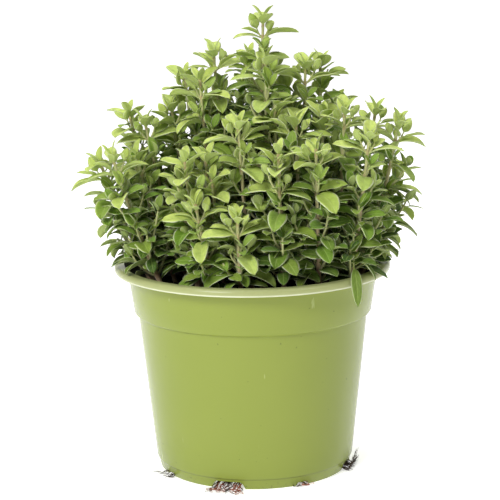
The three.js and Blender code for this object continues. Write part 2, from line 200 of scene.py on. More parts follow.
def below_tip(trace, length):
    """Where a stem is, and which way it points, a given length below its tip."""
    left = length
    for i in range(TRACE, 0, -1):
        step = float(np.linalg.norm(trace[i] - trace[i - 1]))
        if left <= step or i == 1:
            at = lerp(trace[i], trace[i - 1], left / step)
            return at, (trace[i] - trace[i - 1]) / step
        left -= step


def midrib(leaf, s):
    """Middle and upper side's normal of a leaf at s from 0 to 1 along it."""
    turn = (leaf["rise"] - leaf["droop"] * s)[..., None]
    rise, droop, length = leaf["rise"], leaf["droop"], leaf["length"]
    reach = length * (math.sin(rise) - np.sin(turn)) / droop
    climb = length * (np.cos(turn) - math.cos(rise)) / droop
    mid = leaf["at"] + leaf["out"] * reach + leaf["up"] * climb
    normal = -leaf["out"] * np.sin(turn) + leaf["up"] * np.cos(turn)
    return mid, normal


SAMPLE_ROWS = 9
SAMPLE_COLUMNS = np.array([-1, -0.6, -0.2, 0.2, 0.6, 1])


def leaf_samples(leaf):
    s = np.arange(1, SAMPLE_ROWS + 1) / SAMPLE_ROWS
    mid, normal = midrib(leaf, s)
    side = np.cross(leaf["up"], leaf["out"])
    half = leaf["width"] * 0.5 * np.sin(np.pi * np.clip(s * 0.94 + 0.03, 0, 1))
    across = SAMPLE_COLUMNS[None, :, None] * half[:, None, None]
    points = mid[:, None] + side * across + normal[:, None] * (LEAF_FOLD * np.abs(across))
    return points.reshape(-1, 3)


CELL = 3 * MM
taken = {}
NEAR = [(dx, dy, dz) for dx in (-1, 0, 1) for dy in (-1, 0, 1) for dz in (-1, 0, 1)]


def take(points, owner):
    for p in points.tolist():
        key = tuple(math.floor(c / CELL) for c in p)
        taken.setdefault(key, []).append((p, owner))


def is_free(points, owner, gap):
    for p in points.tolist():
        cx, cy, cz = (math.floor(c / CELL) for c in p)
        for dx, dy, dz in NEAR:
            for other, whose in taken.get((cx + dx, cy + dy, cz + dz), ()):
                if whose != owner and math.dist(other, p) < gap:
                    return False
    return True


# Radius and height along the pot's inner wall, from its floor to its rim.
INNER_WALL = [
    (BODY_FOOT_RADIUS - WALL - 1.4 * MM, FLOOR_TOP),
    (BODY_FOOT_RADIUS - WALL, BAND_HEIGHT + 2 * MM),
    (BODY_TOP_RADIUS - WALL, BODY_TOP),
    (SHOULDER_RADIUS - WALL, SHOULDER_TOP + WALL),
    (WALL_TOP_RADIUS - WALL, WALL_TOP),
    (WALL_TOP_RADIUS + 0.6 * MM, POT_HEIGHT - 1.2 * MM),
    (WALL_TOP_RADIUS + 1.5 * MM, POT_HEIGHT),
]


def inner_radius(z):
    for (r0, z0), (r1, z1) in zip(INNER_WALL, INNER_WALL[1:]):
        if z <= z1:
            return lerp(r0, r1, (z - z0) / (z1 - z0))
    return INNER_WALL[-1][0]


def clear_of_pot(points):
    low = SOIL_LEVEL + SOIL_MOUND + SOIL_ROUGHNESS + 1 * MM
    for x, y, z in points.tolist():
        r = math.hypot(x, y)
        if r > RIM_RADIUS + 1.2 * MM:
            continue
        if z < low:
            return False
        if r > inner_radius(z) - 1.5 * MM and z < POT_HEIGHT + 1.5 * MM:
            return False
    return True


HABIT = [
    {"drop": 0.8 * MM, "size": 0.46, "rise": 68, "droop": 18},
    {"drop": 3.6 * MM, "size": 0.76, "rise": 46, "droop": 34},
    {"drop": 10 * MM, "size": 0.95, "rise": 30, "droop": 46},
]
LOWER = {"size": 1, "rise": 20, "droop": 62}
TURNS = [0, 14, -14, 28, -28, 42, -42]
LIFTS = [0, 16, -16, 32]
SHRINKS = [1, 0.86, 0.72, 0.58]


def compass(azimuth):
    """Unit vectors outwards and sideways at an azimuth in degrees."""
    x, y = math.cos(azimuth * RAD), math.sin(azimuth * RAD)
    return np.array([x, y, 0.0]), np.array([-y, x, 0.0])


def square_to(along, azimuth):
    """The direction square to a stem that points towards an azimuth."""
    flat = compass(azimuth)[0]
    out = flat - along * float(flat @ along)
    return out / np.linalg.norm(out)


def new_leaf(at, along, azimuth, rise, droop, size):
    return {
        "at": at,
        "out": square_to(along, azimuth),
        "up": along,
        "rise": rise * RAD,
        "droop": droop * RAD,
        "length": LEAF_LENGTH * size,
        "width": LEAF_WIDTH * size,
    }


def has_room(points, owner, gap):
    return clear_of_pot(points) and is_free(points, owner, gap)


def settle(at, along, azimuth, nod, growth, habit, owner, gap=LEAF_CLEARANCE):
    """The first size, turn and lift at which a leaf keeps clear of everything already grown."""
    for shrink in SHRINKS:
        for lift in LIFTS:
            for turn in TURNS:
                rise = habit["rise"] + nod + lift
                size = habit["size"] * growth * shrink
                leaf = new_leaf(at, along, azimuth + turn, rise, habit["droop"], size)
                points = leaf_samples(leaf)
                if has_room(points, owner, gap):
                    take(points, owner)
                    return leaf
    return None


def leaves_of(row, index, trace):
    pairs, internode, phase = row[5:]
    random = Seeded(index * 7919 + 101)
    leaves = []
    for k in range(pairs):
        lower = {**LOWER, "drop": HABIT[2]["drop"] + (k - 2) * internode * MM}
        habit = HABIT[k] if k < len(HABIT) else lower
        at, along = below_tip(trace, habit["drop"])
        for half in (0, 180):
            wander = (random() - 0.5) * WANDER
            nod = (random() - 0.5) * NOD
            growth = lerp(LEAST_GROWTH, MOST_GROWTH, random())
            leaf = settle(at, along, phase + 90 * k + half + wander, nod, growth, habit, index)
            if leaf:
                leaf["drop"] = habit["drop"]
                leaves.append(leaf)
    return leaves


# ---- what grows between the main leaves ----
LOWER_GAP = 1.1 * MM
TWIG_GAP = 0.6 * MM
TWIG_STEPS = 8
TWIG_SLANT = 42 * RAD
SHORTEST_TWIG = 7 * MM
LONGEST_TWIG = 22 * MM
CROWDED_BELOW = POT_HEIGHT + 16 * MM
LOWEST_NODE = SOIL_LEVEL + 6 * MM

# A twig's leaf pairs from its tip down: rise, droop, size, and the distance to the next pair.
TWIG_PAIRS = [
    (62, 16, 0.42, 2.8 * MM),
    (44, 28, 0.58, 5.2 * MM),
    (30, 40, 0.68, 6 * MM),
    (22, 52, 0.72, 6.5 * MM),
]

# Turn and share of its length that a twig tries, and turn and lift that its leaves try.
TWIG_TRIES = [(0, 1), (26, 1), (-26, 1), (0, 0.6), (40, 0.6), (-40, 0.6), (0, 0.3)]
TWIG_LEAF_TRIES = [(0, 0), (24, 8), (-24, 8), (0, 24)]

# The old leaves on the lowest nodes.
BASAL = {"size": 1, "rise": 32, "droop": 58}
MOST_NODES = 40

# How much smaller a leaf is than the room it was given.
SLIMMER = 0.92
SHORTER = 0.97


def slim(leaves):
    for leaf in leaves:
        leaf["length"] *= SHORTER
        leaf["width"] *= SLIMMER


def nodes_of(row, trace):
    """The places along a stem where leaves stand, from the third pair down to the soil."""
    internode = row[6] * MM
    nodes = []
    drop = HABIT[2]["drop"]
    for k in range(2, MOST_NODES):
        at, along = below_tip(trace, drop)
        if at[2] < LOWEST_NODE:
            break
        nodes.append({"place": k, "drop": drop, "at": at, "along": along})
        drop += internode if at[2] > CROWDED_BELOW else 0.5 * internode
    return nodes


def lower_leaves(row, index, nodes):
    """Old leaves on the nodes below the counted pairs, wherever there is room for one."""
    pairs, phase = row[5], row[7]
    random = Seeded(index * 613 + 29)
    leaves = []
    for node in nodes:
        if node["place"] < pairs:
            continue
        for half in (0, 180):
            azimuth = phase + 90 * node["place"] + half + (random() - 0.5) * 40
            nod = (random() - 0.5) * 30
            growth = lerp(0.5, 0.8, random())
            leaf = settle(node["at"], node["along"], azimuth, nod, growth, BASAL, index, LOWER_GAP)
            if leaf:
                leaf["drop"] = node["drop"]
                leaves.append(leaf)
    return leaves


def twig_path(at, along, azimuth, length):
    """A side twig leaves its stem at a slant and turns up."""
    out = square_to(along, azimuth)
    slant = out * math.cos(TWIG_SLANT) + along * math.sin(TWIG_SLANT)
    upwards = slant * 0.4 + np.array([0.0, 0.0, 0.6])
    bend = at + slant * length * 0.5
    tip = bend + upwards / np.linalg.norm(upwards) * length * 0.5
    return bent(at, bend, tip, TWIG_STEPS)


def twig_leaves(path, azimuth, length, random, owner):
    """Small leaf pairs down a twig from its tip, wherever there is room."""
    leaves = []
    along = path[-1] - path[-2]
    along = along / np.linalg.norm(along)
    drop, k = 0.3 * MM, 0
    while drop < max(length - 1.2 * MM, 0.6 * MM):
        place = (1 - drop / length) * TWIG_STEPS
        i = min(int(place), TWIG_STEPS - 1)
        at = lerp(path[i], path[i + 1], place - i)
        lean, droop, full_size, spacing = TWIG_PAIRS[min(k, 3)]
        for half in (90, 270):
            turned = azimuth + half + 90 * k + (random() - 0.5) * 36
            rise = lerp(lean - 10, lean + 12, random())
            size = full_size * lerp(0.8, 1.2, random())
            for turn, lift in TWIG_LEAF_TRIES:
                leaf = new_leaf(at, along, turned + turn, rise + lift, droop, size)
                points = leaf_samples(leaf)[2 * len(SAMPLE_COLUMNS) :: 2]
                if has_room(points, owner, TWIG_GAP):
                    leaves.append(leaf)
                    break
        drop += spacing
        k += 1
    return leaves


def twigs_of(row, index, nodes):
    """Side twigs in the axils of a stem's leaves: longer the further down they stand."""
    phase = row[7]
    random = Seeded(index * 1999 + 7)
    twigs = []
    for node in nodes:
        for half in (0, 180):
            azimuth = phase + 90 * node["place"] + half + (random() - 0.5) * 30
            wanted = lerp(SHORTEST_TWIG, LONGEST_TWIG, float(smoothstep(8 * MM, 62 * MM, node["drop"])))
            wanted *= lerp(0.6, 1.25, random())
            owner = (index, node["place"], half)
            for turn, share in TWIG_TRIES:
                length = wanted * share
                path = twig_path(node["at"], node["along"], azimuth + turn, length)
                probe = path[TWIG_STEPS // 3 + 1 :]
                if not has_room(probe, index, TWIG_GAP):
                    continue
                leaves = twig_leaves(path, azimuth + turn, length, random, owner)
                if leaves:
                    for leaf in leaves:
                        take(leaf_samples(leaf)[len(SAMPLE_COLUMNS) :: 2], owner)
                        leaf["drop"] = node["drop"]
                        leaf["small"] = True
                    take(path[2:], owner)
                    twigs.append({"path": path, "leaves": leaves})
                    break
    return twigs


# A twig of shoot_03 leans out over the rim and its leaves hang down in front of the pot. One row per
# leaf in millimetres and degrees: where it starts (x, y, z), azimuth, rise, droop, length and width.
HANGING_SHOOT = 2
HANGING = [
    [49, -45.5, 112, -84, -24, 60, 23, 6.6],
    [50.5, -44, 114, -40, -4, 66, 15, 7],
    [49.5, -43, 114, -140, 20, 40, 9, 6],
    [50, -43, 115, 10, 26, 30, 9, 6],
]


def hanging_twig(trace):
    """The twig over the rim: it leaves its stem where the stem is nearest to the hanging leaves."""
    end = np.array(HANGING[0][:3]) * MM
    start = trace[int(np.argmin(np.linalg.norm(trace - end - np.array([0, 0, 4 * MM]), axis=1)))]
    bend = lerp(start, end, 0.6) + np.array([0, 0, 2.5 * MM])
    path = bent(start, bend, end, TWIG_STEPS)
    leaves = []
    for x, y, z, azimuth, rise, droop, length, width in HANGING:
        at = np.array([x, y, z]) * MM
        leaf = new_leaf(at, np.array([0.0, 0.0, 1.0]), azimuth, rise, droop, length * MM / LEAF_LENGTH)
        leaf["width"] = width * MM
        leaf["drop"] = 60 * MM
        leaves.append(leaf)
        take(leaf_samples(leaf), "hanging")
    return {"path": path, "leaves": leaves}


def grow_plant():
    """Every shoot as (stem trace, its leaves, its side twigs)."""
    plan = planting_plan()
    traces = [stem_trace(row) for row in plan]
    for index, trace in enumerate(traces):
        take(trace, index)
    grown = [leaves_of(row, index, traces[index]) for index, row in enumerate(plan)]
    taken.clear()
    for index, trace in enumerate(traces):
        take(trace, index)
        slim(grown[index])
        for leaf in grown[index]:
            take(leaf_samples(leaf), index)
    nodes = [nodes_of(row, trace) for row, trace in zip(plan, traces)]
    over_rim = hanging_twig(traces[HANGING_SHOOT])
    for index, row in enumerate(plan):
        grown[index] += lower_leaves(row, index, nodes[index])
    twigs = [twigs_of(row, index, nodes[index]) for index, row in enumerate(plan)]
    twigs[HANGING_SHOOT].append(over_rim)
    return list(zip(traces, grown, twigs))


# ---- mesh and node helpers ----
def mesh_object(name, vertices, faces, smooth=True):
    mesh = bpy.data.meshes.new(name)
    mesh.from_pydata(np.asarray(vertices).tolist(), [], faces)
    mesh.update()
    obj = bpy.data.objects.new(name, mesh)
    bpy.context.collection.objects.link(obj)
    if smooth:
        mesh.polygons.foreach_set("use_smooth", [True] * len(mesh.polygons))
    return obj


def corner_uv(mesh, name, per_corner):
    layer = mesh.uv_layers.new(name=name)
    layer.data.foreach_set("uv", np.asarray(per_corner, dtype=np.float32).ravel())


def face_value(mesh, name, values):
    layer = mesh.attributes.new(name=name, type="FLOAT", domain="FACE")
    layer.data.foreach_set("value", np.asarray(values, dtype=np.float32))


def built_object(name, build, maps, values, material):
    """An object from the lists of a build: its faces, its UV maps by name and its face values."""
    obj = mesh_object(name, build["vertices"], build["faces"])
    for map_name, key in maps.items():
        corner_uv(obj.data, map_name, build[key])
    for key in values:
        face_value(obj.data, key, build[key])
    obj.data.materials.append(material)
    return obj


def linear(r, g, b):
    """A colour written as it looks on screen, from 0 to 255, as the shader wants it."""
    out = []
    for c in (r / 255, g / 255, b / 255):
        out.append(c / 12.92 if c <= 0.04045 else ((c + 0.055) / 1.055) ** 2.4)
    return (*out, 1.0)


class Nodes:
    """A short way to write a material's node tree."""

    def __init__(self, name):
        self.material = bpy.data.materials.new(name)
        self.material.use_nodes = True
        self.tree = self.material.node_tree
        self.shader = self.tree.nodes["Principled BSDF"]

    def put(self, socket, value):
        if isinstance(value, bpy.types.NodeSocket):
            self.tree.links.new(value, socket)
        else:
            socket.default_value = value

    def node(self, kind, inputs=None, **settings):
        node = self.tree.nodes.new(kind)
        for key, value in settings.items():
            setattr(node, key, value)
        for key, value in (inputs or {}).items():
            self.put(node.inputs[key], value)
        return node

    def math(self, operation, a, b=0.0, c=0.0):
        return self.node("ShaderNodeMath", {0: a, 1: b, 2: c}, operation=operation).outputs[0]

    def invert(self, value):
        return self.math("SUBTRACT", 1.0, value)

    def step(self, value, low, high):
        """0 below low and 1 above high, smooth between."""
        inputs = {0: value, 1: low, 2: high}
        return self.node("ShaderNodeMapRange", inputs, interpolation_type="SMOOTHSTEP").outputs[0]

    def mix(self, factor, a, b):
        return self.node("ShaderNodeMix", {0: factor, 6: a, 7: b}, data_type="RGBA").outputs[2]

    def lay(self, under, mask, amount, shade):
        """Another shade laid over a colour, by an amount, where the mask is."""
        return self.mix(self.math("MULTIPLY", mask, amount), under, linear(*shade))

    def noise(self, scale, detail=3.0, roughness=0.55, vector=None):
        where = vector or self.node("ShaderNodeTexCoord").outputs["Object"]
        inputs = {"Vector": where, "Scale": scale, "Detail": detail, "Roughness": roughness}
        return self.node("ShaderNodeTexNoise", inputs).outputs["Fac"]

    def attribute(self, name):
        return self.node("ShaderNodeAttribute", attribute_name=name).outputs["Fac"]

    def bump(self, height, strength, distance):
        inputs = {"Height": height, "Strength": strength, "Distance": distance}
        self.put(self.shader.inputs["Normal"], self.node("ShaderNodeBump", inputs).outputs["Normal"])

    def set(self, **values):
        for key, value in values.items():
            self.put(self.shader.inputs[key.replace("_", " ")], value)


# ---- materials ----
WHITE = (1.0, 1.0, 1.0, 1.0)
FLOOR_GLOW = 0.52


def leaf_material():
    n = Nodes("oregano_leaf")
    uv = n.node("ShaderNodeUVMap", uv_map="Leaf").outputs[0]
    split = n.node("ShaderNodeSeparateXYZ", {0: uv})
    across = n.math("ABSOLUTE", n.math("MULTIPLY_ADD", split.outputs[0], 2.0, -1.0))
    along = split.outputs[1]
    age = n.attribute("age")
    tint = n.attribute("tint")
    under = n.attribute("underside")

    young = linear(187, 202, 110)
    grown = linear(104, 137, 42)
    old = linear(50, 79, 24)
    top = n.mix(n.step(age, 0.0, 0.45), young, grown)
    top = n.mix(n.step(age, 0.45, 1.0), top, old)
    mottle = n.noise(420.0, 4.0)
    top = n.lay(top, n.step(mottle, 0.35, 0.75), 0.35, (92, 122, 38))
    top = n.lay(top, tint, 0.4, (156, 168, 70))
    below = n.mix(n.step(age, 0.1, 0.9), linear(170, 186, 108), linear(126, 143, 76))

    # Three or four side veins run from the midrib towards the tip and the margin.
    vein_place = n.math("FRACT", n.math("MULTIPLY", n.math("MULTIPLY_ADD", across, -0.26, along), 6.0))
    off_vein = n.math("ABSOLUTE", n.math("SUBTRACT", vein_place, 0.5))
    vein = n.invert(n.step(off_vein, 0.02, 0.13))
    vein = n.math("MULTIPLY", vein, n.invert(n.step(across, 0.55, 0.95)))
    rib = n.invert(n.step(across, 0.03, 0.11))
    lines = n.math("MAXIMUM", rib, n.math("MULTIPLY", vein, 0.45))
    top = n.lay(top, lines, 0.28, (176, 196, 112))
    below = n.lay(below, lines, 0.4, (192, 204, 140))

    colour = n.mix(under, top, below)
    # The pale margin of fine hairs, brightened further as a painted highlight where light shines through
    # the thin edge.
    margin = n.step(across, 0.78, 0.93)
    colour = n.lay(colour, margin, 0.8, (206, 216, 168))
    stalk = n.invert(n.step(along, 0.1, 0.17))
    colour = n.lay(colour, stalk, 0.7, (176, 184, 112))
    n.set(Base_Color=colour)

    down = n.noise(2600.0, 2.0)
    relief = n.math("MULTIPLY_ADD", lines, -0.55, n.math("MULTIPLY", down, 0.35))
    n.bump(relief, 0.6, 0.25 * MM)
    n.set(Roughness=0.6, Specular_IOR_Level=0.22, Sheen_Weight=0.05, Sheen_Roughness=0.5)
    n.set(Subsurface_Weight=0.25, Subsurface_Radius=(0.9, 1.0, 0.25), Subsurface_Scale=0.6 * MM)
    return n.material


def stem_material():
    n = Nodes("oregano_stem")
    height = n.attribute("height")
    joint = n.attribute("joint")
    streak = n.noise(300.0, 4.0, 0.6, n.node("ShaderNodeUVMap", uv_map="Streak").outputs[0])
    woody = n.mix(n.step(streak, 0.3, 0.7), linear(168, 142, 108), linear(198, 174, 136))
    green = n.mix(n.step(streak, 0.3, 0.7), linear(158, 164, 98), linear(182, 184, 126))
    colour = n.mix(n.step(height, 0.35, 0.95), woody, green)
    colour = n.lay(colour, joint, 0.5, (150, 100, 74))
    fine = n.noise(1500.0, 3.0)
    colour = n.lay(colour, n.step(fine, 0.5, 0.8), 0.35, (214, 200, 168))
    n.set(Base_Color=colour, Roughness=0.7, Sheen_Weight=0.3)
    n.bump(fine, 0.5, 0.2 * MM)
    return n.material


def pot_material():
    n = Nodes("pot_plastic")
    broad = n.noise(14.0, 2.0)
    grain = n.noise(900.0, 3.0)
    colour = n.mix(broad, linear(126, 139, 54), linear(136, 147, 62))
    place = n.node("ShaderNodeTexCoord").outputs["Object"]
    z = n.node("ShaderNodeSeparateXYZ", {0: place}).outputs[2]

    # The lip is painted paler than the wall as a painted reflection of the white surroundings, with a
    # painted highlight on its lower edge, which is also a little paler from wear, and painted shade with
    # some grime in the angle under it.
    lip = n.step(z, WALL_TOP - 0.2 * MM, WALL_TOP + 0.2 * MM)
    # Painted reflection: the lip is laid paler and greyer than the wall.
    colour = n.lay(colour, lip, 0.75, (162, 166, 120))
    # Painted highlight along the lip's lower edge, which is also a little paler from wear; noise makes its
    # strength uneven.
    above_edge = n.step(z, WALL_TOP + 0.7 * MM, WALL_TOP + 1.2 * MM)
    edge_highlight = n.math("MULTIPLY", lip, n.invert(above_edge))
    edge_highlight_strength = n.math("MULTIPLY_ADD", n.noise(60.0, 4.0), 0.7, 0.35)
    colour = n.lay(colour, edge_highlight, edge_highlight_strength, (216, 219, 190))
    # Painted shade, with some grime, in the angle under the lip.
    angle = n.math("MULTIPLY", n.step(z, WALL_TOP - 1.0 * MM, WALL_TOP - 0.3 * MM), n.invert(lip))
    colour = n.lay(colour, angle, 0.55, (84, 88, 36))

    # Painted shade: a dark line in the crease above the foot band.
    off_crease = n.math("ABSOLUTE", n.math("SUBTRACT", z, BAND_HEIGHT + 0.3 * MM))
    crease_shade = n.invert(n.step(off_crease, 0.15 * MM, 0.55 * MM))
    colour = n.lay(colour, crease_shade, 0.55, (88, 96, 36))
    stretched = n.node("ShaderNodeMapping", {"Vector": place, "Scale": (1.0, 1.0, 0.1)}).outputs[0]
    scuff = n.step(n.noise(300.0, 3.0, 0.6, stretched), 0.7, 0.78)
    colour = n.lay(colour, scuff, 0.3, (190, 200, 140))
    speck = n.step(n.noise(420.0, 1.0, 0.5), 0.77, 0.8)
    colour = n.lay(colour, speck, 0.6, (80, 88, 40))
    crumb = n.math("MULTIPLY", n.step(n.noise(700.0, 3.0), 0.6, 0.7), n.invert(n.step(z, 0.0, 7 * MM)))
    colour = n.lay(colour, crumb, 0.5, (92, 84, 44))

    # Painted shade: the inside of the wall above the soil is painted the dark brown of peat, and made
    # rougher.
    shade_below_rim = n.math("MULTIPLY_ADD", n.noise(160.0, 4.0), 5 * MM, z)
    shade_below_rim = n.invert(n.step(shade_below_rim, POT_HEIGHT + 2.5 * MM, POT_HEIGHT + 4 * MM))
    inner_wall_shade = n.math("MULTIPLY", n.attribute("inside"), shade_below_rim)
    colour = n.lay(colour, inner_wall_shade, 0.95, (34, 30, 18))
    n.set(Base_Color=colour, Specular_IOR_Level=0.32)
    gloss = n.math("MULTIPLY_ADD", broad, 0.08, 0.2)
    gloss = n.math("MULTIPLY_ADD", scuff, 0.15, gloss)
    n.set(Roughness=n.math("MULTIPLY_ADD", inner_wall_shade, 0.6, gloss))
    n.bump(grain, 0.05, 0.2 * MM)
    return n.material


def soil_material():
    n = Nodes("soil_peat")
    clump = n.noise(260.0, 6.0, 0.65)
    fibre = n.noise(1400.0, 5.0, 0.7)
    colour = n.mix(n.step(clump, 0.35, 0.7), linear(22, 17, 12), linear(58, 44, 32))
    colour = n.lay(colour, n.step(fibre, 0.6, 0.75), 0.6, (98, 76, 54))
    n.set(Base_Color=colour, Roughness=0.92)
    n.bump(n.math("ADD", clump, fibre), 0.9, 0.9 * MM)
    return n.material


def root_material():
    n = Nodes("root_fibre")
    shade = n.attribute("tint")
    fine = n.noise(1200.0, 4.0)
    dark = n.mix(n.step(fine, 0.3, 0.7), linear(38, 30, 24), linear(84, 66, 48))
    red = n.mix(n.step(fine, 0.3, 0.7), linear(132, 66, 44), linear(176, 104, 74))
    n.set(Base_Color=n.mix(shade, dark, red), Roughness=0.75)
    n.bump(fine, 0.6, 0.1 * MM)
    return n.material


def floor_material():
    n = Nodes("pale_floor")
    tone = n.mix(n.step(n.noise(6.0, 3.0), 0.3, 0.7), (0.9, 0.9, 0.895, 1), (0.93, 0.93, 0.925, 1))
    n.set(Base_Color=tone, Roughness=0.65, Emission_Color=WHITE, Emission_Strength=FLOOR_GLOW)
    return n.material


# ---- leaves ----
PETIOLE = 0.14
MARGIN_ROLL = 0.26
BLADE_PEAK = 0.4386**0.5 * 0.5614**0.64  # the largest value of the blade's curve

# Steps along and across a main leaf and a small one.
MAIN_GRID = (10, 8)
SMALL_GRID = (7, 4)


def half_width(leaf, s):
    """Half the leaf's width: a thin stalk, then an ovate blade with a short point."""
    t = np.clip((s - PETIOLE) / (1 - PETIOLE), 0, 1)
    blade = t**0.5 * (1 - t) ** 0.64 / BLADE_PEAK
    stalk = 0.055 * (1 - smoothstep(0.8, 1.0, s))
    return leaf["width"] * np.maximum(0.42 * blade, stalk)


def leaf_shell(leaf, rows, columns):
    """Upper and lower surface of a leaf as two grids of points."""
    s = np.linspace(0, 1, rows + 1)
    u = np.linspace(-1, 1, columns + 1)
    mid, normal = midrib(leaf, s)
    side = np.cross(leaf["up"], leaf["out"])
    half = half_width(leaf, s)[:, None]
    across = half * u[None, :]
    wave = leaf["wave"] * np.sin(9 * s + leaf["twist"] * 5)[:, None] * u[None, :] ** 2
    fold = leaf["fold"] * np.abs(across) ** 1.35 * (0.5 * leaf["width"]) ** -0.35
    fold = fold - MARGIN_ROLL * half * u[None, :] ** 6
    roll = (leaf["roll"] + leaf["twist"] * s)[:, None]
    lateral = across * np.cos(roll) - fold * np.sin(roll)
    height = across * np.sin(roll) + fold * np.cos(roll) + wave * half
    surface = mid[:, None] + side * lateral[..., None] + normal[:, None] * height[..., None]
    thick = lerp(0.75 * MM, 0.26 * MM, smoothstep(0.04, 0.26, s))[:, None]
    thick = 0.5 * thick * (1 - u[None, :] ** 4) * leaf["scale"]
    lift = normal[:, None] * thick[..., None]
    return surface + lift, surface - lift


def add_leaf(build, leaf, rows, columns):
    """Adds a closed thin leaf to a build: its faces, its place in the blade, its age and side."""
    top, under = leaf_shell(leaf, rows, columns)
    base = len(build["vertices"])
    wide = columns + 1
    upper = base + np.arange((rows + 1) * wide).reshape(rows + 1, wide)
    lower = upper.copy()
    lower[:, 1:-1] = base + (rows + 1) * wide + np.arange((rows + 1) * (wide - 2)).reshape(rows + 1, -1)
    build["vertices"].extend(top.reshape(-1, 3).tolist())
    build["vertices"].extend(under[:, 1:-1].reshape(-1, 3).tolist())
    start = len(build["faces"])
    for i in range(rows):
        for j in range(columns):
            place = [(j, i), (j, i + 1), (j + 1, i + 1), (j + 1, i)]
            for grid, corners, below in ((upper, place, 0.0), (lower, place[::-1], 1.0)):
                build["faces"].append([int(grid[b, a]) for a, b in corners])
                build["uv"].extend([(a / columns, b / rows) for a, b in corners])
                build["underside"].append(below)
    for i in (0, rows):
        ring = [int(v) for v in upper[i]] + [int(v) for v in lower[i][-2:0:-1]]
        build["faces"].append(ring if i else ring[::-1])
        at = [(j / columns, i / rows) for j in range(wide)]
        at += [(j / columns, i / rows) for j in range(wide - 2, 0, -1)]
        build["uv"].extend(at if i else at[::-1])
        build["underside"].append(0.0)
    count = len(build["faces"]) - start
    build["age"].extend([leaf["age"]] * count)
    build["tint"].extend([leaf["tint"]] * count)
    build["spans"].append((start, count, leaf["length"], leaf["width"]))


def pack_cells(sizes):
    """Corners of side-by-side cells on a unit square, and the scale that lets them all fit."""
    order = sorted(range(len(sizes)), key=lambda i: -sizes[i][1])
    scale = 1.0 / math.sqrt(sum(w * h for w, h in sizes))
    while True:
        corners = [None] * len(sizes)
        x, y, shelf = 0.0, 0.0, 0.0
        for i in order:
            w, h = sizes[i][0] * scale, sizes[i][1] * scale
            if x + w > 1:
                x, y, shelf = 0.0, y + shelf, 0.0
            corners[i] = (x, y)
            x += w
            shelf = max(shelf, h)
        if y + shelf <= 1:
            return corners, scale
        scale *= 0.97


def bake_layout(build):
    """A map for baking: each leaf has a cell, its upper side on the left, its underside on the right."""
    sizes = [(2.3 * width, 1.15 * length) for _, _, length, width in build["spans"]]
    corners, scale = pack_cells(sizes)
    uv = np.array(build["uv"])
    totals = np.array([len(face) for face in build["faces"]])
    starts = np.concatenate([[0], np.cumsum(totals)])
    side = np.repeat(np.array(build["underside"]), totals)
    out = np.zeros_like(uv)
    for (start, count, _, _), (w, h), (x, y) in zip(build["spans"], sizes, corners):
        a, b = starts[start], starts[start + count]
        out[a:b, 0] = x + scale * w * (0.03 + 0.44 * uv[a:b, 0] + 0.5 * side[a:b])
        out[a:b, 1] = y + scale * h * (0.04 + 0.92 * uv[a:b, 1])
    return out


def character(leaf, random, age):
    """What makes one leaf differ from the next."""
    leaf["age"] = min(1.0, max(0.0, age + (random() - 0.5) * 0.22))
    leaf["tint"] = random() ** 2
    leaf["fold"] = lerp(0.35, 0.95, random())
    leaf["roll"] = (random() - 0.5) * 0.5
    leaf["twist"] = (random() - 0.5) * 0.5
    leaf["wave"] = lerp(0.03, 0.14, random())


def shoot_leaves(name, leaves, material, index):
    """All the leaves of one shoot and its twigs as one object."""
    random = Seeded(index * 3571 + 17)
    build = {key: [] for key in ("vertices", "faces", "uv", "underside", "age", "tint", "spans")}
    for leaf in leaves:
        small = "small" in leaf
        age = float(smoothstep(0, 75 * MM, leaf["drop"]))
        character(leaf, random, 0.13 + 0.78 * age if small else 0.02 + 0.8 * age)
        leaf["scale"] = 0.7 if small else 1.0
        add_leaf(build, leaf, *(SMALL_GRID if small else MAIN_GRID))
    build["bake"] = bake_layout(build)
    maps = {"Leaf": "uv", "OFBake": "bake"}
    return built_object(name, build, maps, ["underside", "age", "tint"], material)


# ---- stems ----
STEM_SIDES = 12
STEM_RINGS = 72
TWIG_RINGS = 10
TWIG_CELLS = 7


def frames_along(path):
    """A direction across the path at each point, turning as little as possible."""
    tangents = np.gradient(path, axis=0)
    tangents /= np.linalg.norm(tangents, axis=1)[:, None]
    across = np.cross(tangents[0], [0.0, 1.0, 0.0])
    out = []
    for tangent in tangents:
        across = across - tangent * float(across @ tangent)
        across /= np.linalg.norm(across)
        out.append((across, np.cross(tangent, across)))
    return out


def band(low, high, count):
    """The faces between two rings of points, whose first points are low and high."""
    after = [(j + 1) % count for j in range(count)]
    return [[low + j, low + k, high + k, high + j] for j, k in enumerate(after)]


def tube(path, radii, sides, corner=0.0):
    """Points and faces of a closed tube; corner above 0 makes it squarer."""
    angles = np.arange(sides) * 2 * math.pi / sides
    shape = 1 + corner * np.cos(4 * angles)
    vertices = []
    for point, (a, b), radius in zip(path, frames_along(path), radii):
        ring = point + radius * shape[:, None] * (np.cos(angles)[:, None] * a + np.sin(angles)[:, None] * b)
        vertices.extend(ring.tolist())
    faces = []
    for i in range(len(path) - 1):
        faces.extend(band(i * sides, (i + 1) * sides, sides))
    faces.append(list(range(sides))[::-1])
    faces.append([(len(path) - 1) * sides + j for j in range(sides)])
    return vertices, faces


def even_path(points, count):
    """The same curve with its points evenly spaced, and each point's share of its length."""
    lengths = np.concatenate([[0], np.cumsum(np.linalg.norm(np.diff(points, axis=0), axis=1))])
    at = np.linspace(0, lengths[-1], count)
    path = np.stack([np.interp(at, lengths, points[:, k]) for k in range(3)], axis=1)
    return path, at / lengths[-1], lengths[-1]


